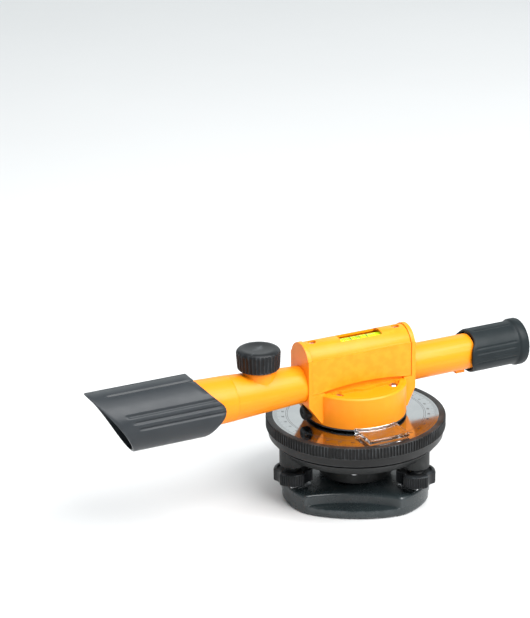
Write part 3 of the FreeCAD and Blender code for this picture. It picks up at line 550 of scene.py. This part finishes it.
def make_circle_ring():
    """The circle's rim: a ribbed band for the fingers above a smooth sloping skirt."""
    low, high = box_mm("circle_ring")
    plate_low, plate_high = box_mm("circle_plate")
    radius, top = high.x, high.z
    bore = 15.56
    hub_low, web_low, band_low = 48.4, plate_low.z - 3.4, top - 7.7
    below = ribs(RING_RIBS, 0.75)
    rim = plate_high.x

    def ribbed(angle):
        return radius - below(angle)

    outline = [(hub_low, bore), (hub_low, 20.5), (web_low, 20.5), (web_low, radius - 6),
               (low.z + 0.6, radius - 6), (low.z, radius - 5.4), (low.z, radius - 3.2),
               (low.z + 0.3, radius - 2.2), (low.z + 1.0, radius - 1.75),
               (band_low - 1.0, radius - 0.95), (band_low - 0.7, radius - 0.75),
               (band_low - 0.35, radius - 0.2), (band_low, radius), (band_low + 0.35, ribbed),
               (top - 0.9, ribbed), (top - 0.45, lambda a: radius - 0.25 - 0.5 * below(a)),
               (top - 0.1, radius - 0.75), (top, radius - 1.3),
               (top, rim + 0.5), (top - 0.15, rim), (plate_low.z, rim), (plate_low.z, bore)]
    piece = skin("circle_ring_rim", turned_rings(outline, RING_RIBS * 8, (0, 0, 0)), "circle",
                 "ring_plastic", closed=True)
    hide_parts("circle_ring")


def make_numerals():
    """Degree numbers in four quadrants, every ten degrees, readable from outside."""
    plate_high = box_mm("circle_plate")[1]
    number_radius, number_height, number_depth = 50.4, 2.6, 0.008
    points = []
    faces = []
    for degrees in range(0, 360, 10):
        curve = bpy.data.curves.new("number", "FONT")
        curve.body = str(90 - abs(degrees % 180 - 90))
        curve.size = number_height * MM
        curve.extrude = number_depth * MM
        curve.resolution_u = 3
        curve.align_x = "CENTER"
        curve.align_y = "CENTER"
        writer = bpy.data.objects.new("number", curve)
        bpy.context.scene.collection.objects.link(writer)
        bpy.context.view_layer.update()
        letters = bpy.data.meshes.new_from_object(writer.evaluated_get(
            bpy.context.evaluated_depsgraph_get()))
        angle = math.radians(degrees)
        at = Matrix.Translation(Vector((number_radius * math.cos(angle),
                                        number_radius * math.sin(angle), plate_high.z + 0.02)) * MM)
        turn = Matrix.Rotation(angle + math.pi / 2, 4, "Z")
        start = len(points)
        points += [at @ turn @ vertex.co for vertex in letters.vertices]
        faces += [[start + index for index in face.vertices] for face in letters.polygons]
        bpy.data.objects.remove(writer)
    finished("circle_numbers", points, faces, "circle", "ring_plastic")


def make_window_marks():
    """A short scale of fine lines on the reading window."""
    low, high = box_mm("index_window")
    middle = math.atan2(low.y, (low.x + high.x) / 2)
    long_inner, short_inner, outer = 43.5, 46.0, 50.0
    spacing, half_width = math.radians(1.8), 0.11
    points = []
    faces = []
    for mark in range(-5, 6):
        inner = long_inner if mark % 5 == 0 else short_inner
        turn = middle + spacing * mark
        along = Vector((math.cos(turn), math.sin(turn), 0))
        side = Vector((-along.y, along.x, 0)) * half_width
        start = len(points)
        for height in (high.z - 0.01, high.z + 0.02):
            for reach, sign in ((inner, -1), (outer, -1), (outer, 1), (inner, 1)):
                points.append((along * reach + side * sign + Vector((0, 0, height))) * MM)
        for face in ((3, 2, 1, 0), (4, 5, 6, 7), (0, 1, 5, 4), (1, 2, 6, 5), (2, 3, 7, 6), (3, 0, 4, 7)):
            faces.append([start + index for index in face])
    finished("window_marks", points, faces, "alidade", "black_plastic")


# ---------------------------------------------------------------- knobs

def make_focus_knob():
    """A fluted drum with a domed shoulder and a shallow dished top."""
    low, high = box_mm("focus_knob")
    centre = (low + high) / 2
    floor, top = low.z, high.z
    radius = high.x - centre.x
    bore = 2.55
    flutes = 34
    below = ribs(flutes, 0.55, 0.45)

    def fluted(reach, share=1.0):
        return lambda angle: reach - share * below(angle)

    outline = [(floor, bore), (floor, radius - 2.0), (floor + 0.25, radius - 1.3),
               (floor + 0.9, radius - 0.8), (floor + 1.4, fluted(radius - 0.6)),
               (floor + 6.0, fluted(radius - 0.3)), (top - 3.4, fluted(radius - 0.05)),
               (top - 2.6, fluted(radius, 0.7)), (top - 1.7, fluted(radius - 0.35, 0.25)),
               (top - 1.0, radius - 0.9), (top - 0.4, radius - 1.9), (top - 0.1, radius - 3.0),
               (top, radius - 4.0), (top - 0.15, radius - 5.2), (top - 0.5, radius - 7.5),
               (top - 0.75, radius - 10.0), (top - 0.8, 0.1)]
    lower = [(top - 1.4, 0.1), (top - 1.4, bore)]
    piece = skin("focus_knob_drum", turned_rings(outline + lower, flutes * 10, centre), "focus_knob",
                 "knob_plastic", closed=True)
    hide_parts("focus_knob")


def make_clamp_knob():
    """A small knurled thumb wheel on the clamp screw."""
    low, high = box_mm("clamp_knob")
    centre = (low + high) / 2
    radius = (high.z - low.z) / 2
    bore = 1.95
    knurls = 30
    below = ribs(knurls, 0.4)
    near, end = high.x, low.x

    def knurled(angle):
        return radius - below(angle)

    outline = [(near, bore), (near, radius - 0.9), (near - 0.3, radius - 0.3),
               (near - 0.6, knurled), (end + 1.2, knurled), (end + 0.6, radius - 0.35),
               (end + 0.15, radius - 1.0), (end, radius - 1.8), (end + 0.2, radius - 2.8),
               (end + 0.3, 0.6), (end + 0.8, 0.6), (end + 0.8, bore)]
    piece = skin("clamp_knob_wheel", turned_rings(outline, knurls * 8, centre, "X"), "clamp_screw",
                 "knob_plastic", closed=True)
    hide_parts("clamp_knob")


# ---------------------------------------------------------------- sunshade and eyecup

HOOD_GROOVES = ((73.5, 4.6), (26.4, 4.8), (13.8, 4.6), (1.2, 4.6))
CUP_GROOVES = ((78.0, 5.0), (23.0, 4.5), (9.0, 4.5), (-5.0, 4.5), (-19.0, 4.5))


def groove(lift, grooves):
    """How deep the lengthwise grooves are at a height angle above the horizontal, 0 to 1."""
    deep = 0.0
    for middle, half in grooves:
        away = abs(math.degrees(lift) - middle) / half
        if away < 1:
            deep = max(deep, math.cos(away * math.pi / 2) ** 2)
    return deep


def smoothed(values, reach):
    """A list of values round a circle, each averaged with its neighbours."""
    count = len(values)
    return [sum(values[(index + step) % count] for step in range(-reach, reach + 1)) / (2 * reach + 1)
            for index in range(count)]


def ramp(value):
    value = min(1.0, max(0.0, value))
    return value * value * (3 - 2 * value)


def sleeve(name, body, slot, centre, ends, stations):
    """A tube about X whose two edges move with the angle.

    ends gives the places of both edges, and of the far edge's inner lip, for each angle.
    Each station is (place from those three, radius or f(lift, along, near, far))."""
    count = len(ends)
    rings = [[] for _ in stations]
    for index, (near, far, lip) in enumerate(ends):
        angle = 2 * math.pi * index / count
        side, up = math.cos(angle), math.sin(angle)
        lift = math.atan2(up, abs(side))
        for ring, (place, radius) in zip(rings, stations):
            along = place(near, far, lip)
            reach = radius(lift, along, near, far) if callable(radius) else radius
            ring.append([along * MM, (centre.y - reach * side) * MM, (centre.z + reach * up) * MM])
    return skin(name, rings, body, slot, closed=True)


def make_hood():
    """The sunshade: slanting mouth, swept tongues at the sides and lengthwise grooves."""
    low, high = box_mm("hood")
    centre = (low + high) / 2
    radius = (high.z - low.z) / 2
    bore = radius - 2.2
    mouth_radius, mouth_back, mouth_down = 154.3, 113.5, 82.6
    notch_radius, notch_shift, notch_from = 22.4, 4.4, 7
    tongue_slope, tongue_from = 0.674, -2
    groove_depth = 0.95
    count = 480

    def mouth(up):
        return low.x - mouth_back + math.sqrt(mouth_radius ** 2 - (up + mouth_down) ** 2)

    near, far, lip = [], [], []
    for index in range(count):
        angle = 2 * math.pi * index / count
        side, up = radius * math.cos(angle), radius * math.sin(angle)
        if up > notch_from:
            near.append(high.x + notch_shift - math.sqrt(notch_radius ** 2 - side ** 2))
        else:
            near.append(high.x + min(0.0, tongue_slope * (up - tongue_from)))
        far.append(mouth(up))
        lip.append(mouth(bore * math.sin(angle)))
    near = smoothed(smoothed(near, 14), 14)

    def outer(lift, along, start, end):
        fade = ramp((along - end - 9.0) / 4.0)
        return radius - groove_depth * fade * groove(lift, HOOD_GROOVES)

    def from_mouth(step):
        return lambda start, end, inner: end + step

    def from_lip(step):
        return lambda start, end, inner: inner + step

    def from_rear(step):
        return lambda start, end, inner: start - step

    stations = [(from_rear(0.0), radius - 1.1),
                (from_rear(0.25), lambda l, x, s, e: outer(l, x, s, e) - 0.35),
                (from_rear(0.8), outer)]
    stations += [(lambda s, e, i, p=part: s - 0.8 + (e + 15.0 - s + 0.8) * p / 12.0, outer)
                 for part in range(1, 13)]
    stations += [(from_mouth(step), outer) for step in (13.5, 12.5, 11.5, 10.5, 9.5, 8.5, 3.0, 0.7)]
    stations += [(from_mouth(0.15), radius - 0.3), (from_mouth(0.0), radius - 0.7),
                 (from_lip(0.2), bore + 0.6), (from_lip(0.8), bore + 0.4),
                 (lambda s, e, i: (s + i) / 2, bore + 0.2), (from_rear(1.0), bore),
                 (from_rear(0.2), bore + 0.3)]
    piece = sleeve("hood_sunshade", "hood", "hood_plastic", centre, list(zip(near, far, lip)), stations)
    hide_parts("hood")


def make_eyecup():
    """The rubber cup: ribbed sleeve, side tongues toward the barrel and a rolled lip."""
    low, high = box_mm("eyecup")
    centre = (low + high) / 2
    lip = (high.z - low.z) / 2
    radius = lip - 1.2
    bore = radius - 2
    tongue, tongue_half = 4.0, 8.2
    groove_depth = 0.45
    count = 480
    near = []
    for index in range(count):
        up = radius * math.sin(2 * math.pi * index / count)
        near.append(low.x if abs(up) < tongue_half else low.x + tongue)
    near = smoothed(smoothed(near, 16), 16)
    end = high.x

    def outer(lift, along, start, finish):
        fade = ramp((along - start - 2.0) / 3.0) * ramp((finish - 9.0 - along) / 3.0)
        return radius - groove_depth * fade * groove(lift, CUP_GROOVES)

    def from_edge(step):
        return lambda start, finish, inner: start + step

    def from_lip(step):
        return lambda start, finish, inner: finish - step

    stations = [(from_edge(0.0), radius - 1.0), (from_edge(0.2), radius - 0.35),
                (from_edge(0.8), radius - 0.05)]
    stations += [(from_edge(step), outer) for step in (1.8, 2.8, 4.0, 5.5, 8.0)]
    stations += [(lambda s, f, i, p=part: s + 8.0 + (f - 15.0 - s - 8.0) * p / 8.0, outer)
                 for part in range(1, 9)]
    stations += [(from_lip(step), outer) for step in (13.5, 12.0, 10.5, 9.3)]
    stations += [(from_lip(8.0), radius), (from_lip(7.2), radius + 0.35), (from_lip(6.5), lip - 0.35),
                 (from_lip(5.6), lip), (from_lip(1.4), lip), (from_lip(0.5), lip - 0.3),
                 (from_lip(0.1), lip - 0.9), (from_lip(0.0), lip - 1.8), (from_lip(0.3), lip - 3.2),
                 (from_lip(4.6), 10.0), (from_lip(5.2), 9.7), (from_lip(6.0), 9.9),
                 (from_lip(6.0), bore), (from_edge(1.0), bore), (from_edge(0.2), bore + 0.3)]
    ends = [(start, end, end) for start in near]
    piece = sleeve("eyecup_sleeve", "dioptre_ring", "eyecup_rubber", centre, ends, stations)
    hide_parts("eyecup")


# ---------------------------------------------------------------- vial

def capsule_rings(centre, half_length, radius, flatten, count=32, steps=10):
    """A lying bubble: round ends, flattened a little in height."""
    rings = []
    for step in range(steps + 1):
        share = -1 + 2 * step / steps
        turn = share * math.pi / 2 * 0.97
        along = half_length * math.sin(turn)
        reach = radius * math.cos(turn) ** 0.7
        rings.append([Vector((centre.x + along, centre.y + reach * math.cos(2 * math.pi * i / count),
                              centre.z + flatten * reach * math.sin(2 * math.pi * i / count))) * MM
                      for i in range(count)])
    return rings


def make_vial():
    """Glass tube, liquid, bubble and the two lines that the bubble is read against."""
    low, high = box_mm("vial_tube")
    centre = (low + high) / 2
    radius = (high.z - low.z) / 2
    half = (high.x - low.x) / 2
    wall = 0.9
    bubble_half, bubble_radius, bubble_flatness = 3.6, 1.9, 0.52
    tube = [(centre.x - half + 1.5, radius - wall), (centre.x + half - 1.5, radius - wall),
            (centre.x + half - 1.5, 0.4), (centre.x + half - 0.2, 0.4), (centre.x + half, radius - 1.2),
            (centre.x + half - 0.3, radius - 0.4), (centre.x + half - 1.0, radius),
            (centre.x - half + 1.0, radius), (centre.x - half + 0.3, radius - 0.4),
            (centre.x - half, radius - 1.2), (centre.x - half + 0.2, 0.4),
            (centre.x - half + 1.5, 0.4)]
    glass = skin("vial_glass_tube", turned_rings(tube, 64, centre, "X"), "alidade", "vial_glass",
                 closed=True)
    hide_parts("vial_tube")
    inside = radius - wall + 0.08
    reach = half - 1.6
    liquid = skin("vial_liquid_column", turned_rings([
        (centre.x - reach, inside - 0.4), (centre.x - reach + 0.4, inside),
        (centre.x + reach - 0.4, inside), (centre.x + reach, inside - 0.4)], 64, centre, "X"),
        "alidade", "vial_liquid")
    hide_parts("vial_liquid")
    bubble_at = centre + Vector((0, 0, inside - 0.9))
    skin("vial_bubble", capsule_rings(bubble_at, bubble_half, bubble_radius, bubble_flatness),
         "alidade", "vial_glass")
    for name, place in (("vial_line_front", -6.2), ("vial_line_rear", 6.2)):
        x = centre.x + place
        band = [(x - 0.22, radius), (x - 0.22, radius + 0.04), (x + 0.22, radius + 0.04),
                (x + 0.22, radius)]
        skin(name, turned_rings(band, 64, centre, "X"), "alidade", "black_plastic", closed=True)


# ---------------------------------------------------------------- whole instrument

SOFT_EDGES = {
    "housing": 0.7, "vial_cover": 0.5, "collar_plate": 0.4, "rear_barrel": 0.35,
    "front_barrel": 0.35, "objective_barrel": 0.3, "levelling_head": 0.5, "index_window": 0.35,
    "foot_retainers": 0.15, "hold_down_washer": 0.15, "circle_plate": 0.1,
}


def make_all():
    make_camera()
    make_light()
    make_floor()
    paint_frame()
    for node, width in SOFT_EDGES.items():
        soften(node, width)
    make_base()
    for name in ("front", "rear_left", "rear_right"):
        make_foot_knob(name)
    make_circle_ring()
    make_numerals()
    make_window_marks()
    make_focus_knob()
    make_clamp_knob()
    make_hood()
    make_eyecup()
    make_vial()


PAINTS = make_paints()
make_all()
